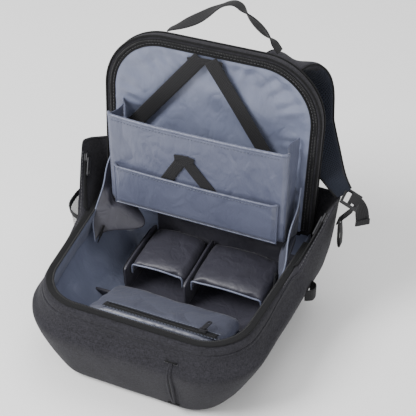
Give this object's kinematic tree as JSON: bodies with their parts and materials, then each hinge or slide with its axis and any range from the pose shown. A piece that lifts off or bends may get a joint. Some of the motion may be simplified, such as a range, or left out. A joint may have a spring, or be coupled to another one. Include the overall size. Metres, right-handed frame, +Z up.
{
  "type": "camera backpack",
  "caption": "Padded camera backpack lying on its front with its zip-around back panel hinged open, divided insert, gusset pocket, harness and grab handle.",
  "frame": {"origin": "on the floor under the middle of the bag's front panel, on the plane of symmetry", "axes": "+Z up; +X to the wearer's side with the ladder lock spread out; +Y from the bag's top end towards its bottom end, where the back panel is hinged"},
  "size_m": [0.4294, 0.3524, 0.4062],
  "materials": {
    "outer_fabric": "heathered plain weave",
    "lining": "smooth coated nylon, slight sheen",
    "divider_fabric": "padded, brushed face",
    "webbing": "ribbed webbing",
    "air_mesh": "open spacer mesh over foam",
    "pocket_mesh": "stretch mesh",
    "zip_tape": "woven tape with coil teeth",
    "zip_metal": "gloss black",
    "buckle": "moulded, fine grain"
  },
  "bodies": {
    "tub": {"front_panel": "outer_fabric", "side_panel_left": "outer_fabric", "side_panel_right": "outer_fabric", "top_end_panel": "outer_fabric", "bottom_end_panel": "outer_fabric", "lower_back_panel": "outer_fabric", "hinge_band": "webbing", "ear_left": "outer_fabric", "ear_right": "outer_fabric", "tub_zip_tape": "zip_tape", "bottle_pocket": "pocket_mesh", "bottle_pocket_hem": "webbing", "side_loop": "webbing", "slit_pocket_welt": "outer_fabric", "hanging_loop": "webbing", "anchor_tabs": "webbing", "insert_floor_pad": "lining", "insert_left_pad": "lining", "insert_right_pad": "lining", "insert_top_pad": "lining", "insert_bottom_pad": "lining", "divider_left": "divider_fabric", "divider_center": "divider_fabric", "divider_right": "divider_fabric", "divider_cross": "divider_fabric", "velcro_strips": "webbing", "gusset_left": "lining", "gusset_right": "lining", "gusset_patches": "webbing"},
    "lid": {"lid_panel": "outer_fabric", "lid_lining": "lining", "lid_binding": "outer_fabric", "lid_zip_tape": "zip_tape", "pocket_front": "lining", "pocket_gussets": "lining", "pocket_bottom": "lining", "slip_pocket": "lining", "lid_strap_left": "webbing", "lid_strap_right": "webbing", "pocket_strap": "webbing", "yoke": "outer_fabric", "back_pads": "air_mesh", "shoulder_strap_left": "outer_fabric", "shoulder_strap_right": "outer_fabric"},
    "handle": {"handle": "webbing"},
    "cover_left": {"cover_left": "divider_fabric"},
    "cover_right": {"cover_right": "divider_fabric"},
    "zip_flap": {"zip_flap": "lining", "flap_zip_tape": "zip_tape"},
    "flap_slider": {"flap_zip_slider": "zip_metal"},
    "flap_puller": {"flap_zip_puller": "zip_metal"},
    "slider_left": {"main_slider_left": "zip_metal"},
    "puller_left": {"main_puller_left": "zip_metal"},
    "slider_right": {"main_slider_right": "zip_metal"},
    "puller_right": {"main_puller_right": "zip_metal"},
    "lock_left": {"ladder_lock_left": "buckle", "adjuster_left": "webbing"},
    "lock_right": {"ladder_lock_right": "buckle", "adjuster_right": "webbing"}
  },
  "joints": [
    {"name": "lid_hinge", "type": "hinge", "parent": "tub", "child": "lid", "pos_m": [0, 0.094, 0.12], "axis": [-1, 0, 0], "range_deg": [-97.5, 0], "deforming": ["gusset_left", "gusset_right", "shoulder_strap_left", "shoulder_strap_right"]},
    {"name": "handle_swing", "type": "hinge", "parent": "lid", "child": "handle", "pos_m": [0, 0.15283, 0.35231], "axis": [1, 0, 0], "range_deg": [-75, 25]},
    {"name": "cover_left_hinge", "type": "hinge", "parent": "tub", "child": "cover_left", "pos_m": [-0.039, 0.088, 0.068], "axis": [-1, 0, 0], "range_deg": [0, 35]},
    {"name": "cover_right_hinge", "type": "hinge", "parent": "tub", "child": "cover_right", "pos_m": [0.0625, 0.088, 0.068], "axis": [-1, 0, 0], "range_deg": [0, 35]},
    {"name": "zip_flap_hinge", "type": "hinge", "parent": "tub", "child": "zip_flap", "pos_m": [0.01, -0.018, 0.058], "axis": [-1, 0, 0], "range_deg": [0, 30]},
    {"name": "flap_zip_slide", "type": "slide", "parent": "zip_flap", "child": "flap_slider", "axis": [-1, 0, 0], "range_m": [0, 0.12]},
    {"name": "flap_puller_swing", "type": "hinge", "parent": "flap_slider", "child": "flap_puller", "pos_m": [0.076, -0.08877, 0.09568], "axis": [1, 0, 0], "range_deg": [0, 140]},
    {"name": "main_zip_slide_left", "type": "slide", "parent": "tub", "child": "slider_left", "axis": [0.2187, -0.6759, -0.7038], "range_m": [0, 0.035]},
    {"name": "main_puller_swing_left", "type": "hinge", "parent": "slider_left", "child": "puller_left", "pos_m": [-0.16786, 0.08158, 0.1711], "axis": [-0.2006, -0.737, 0.6455], "range_deg": [0, 100]},
    {"name": "main_zip_slide_right", "type": "slide", "parent": "tub", "child": "slider_right", "axis": [-0.2187, -0.6759, -0.7038], "range_m": [0, 0.035]},
    {"name": "main_puller_swing_right", "type": "hinge", "parent": "slider_right", "child": "puller_right", "pos_m": [0.16786, 0.08158, 0.1711], "axis": [-0.2006, 0.737, -0.6455], "range_deg": [0, 100]},
    {"name": "lock_tilt_left", "type": "hinge", "parent": "tub", "child": "lock_left", "pos_m": [-0.14, 0.16448, 0.15708], "axis": [1, 0, 0], "range_deg": [0, 35]},
    {"name": "lock_tilt_right", "type": "hinge", "parent": "tub", "child": "lock_right", "pos_m": [0.18876, 0.107, 0.19401], "axis": [0, -1, 0], "range_deg": [0, 35]}
  ]
}
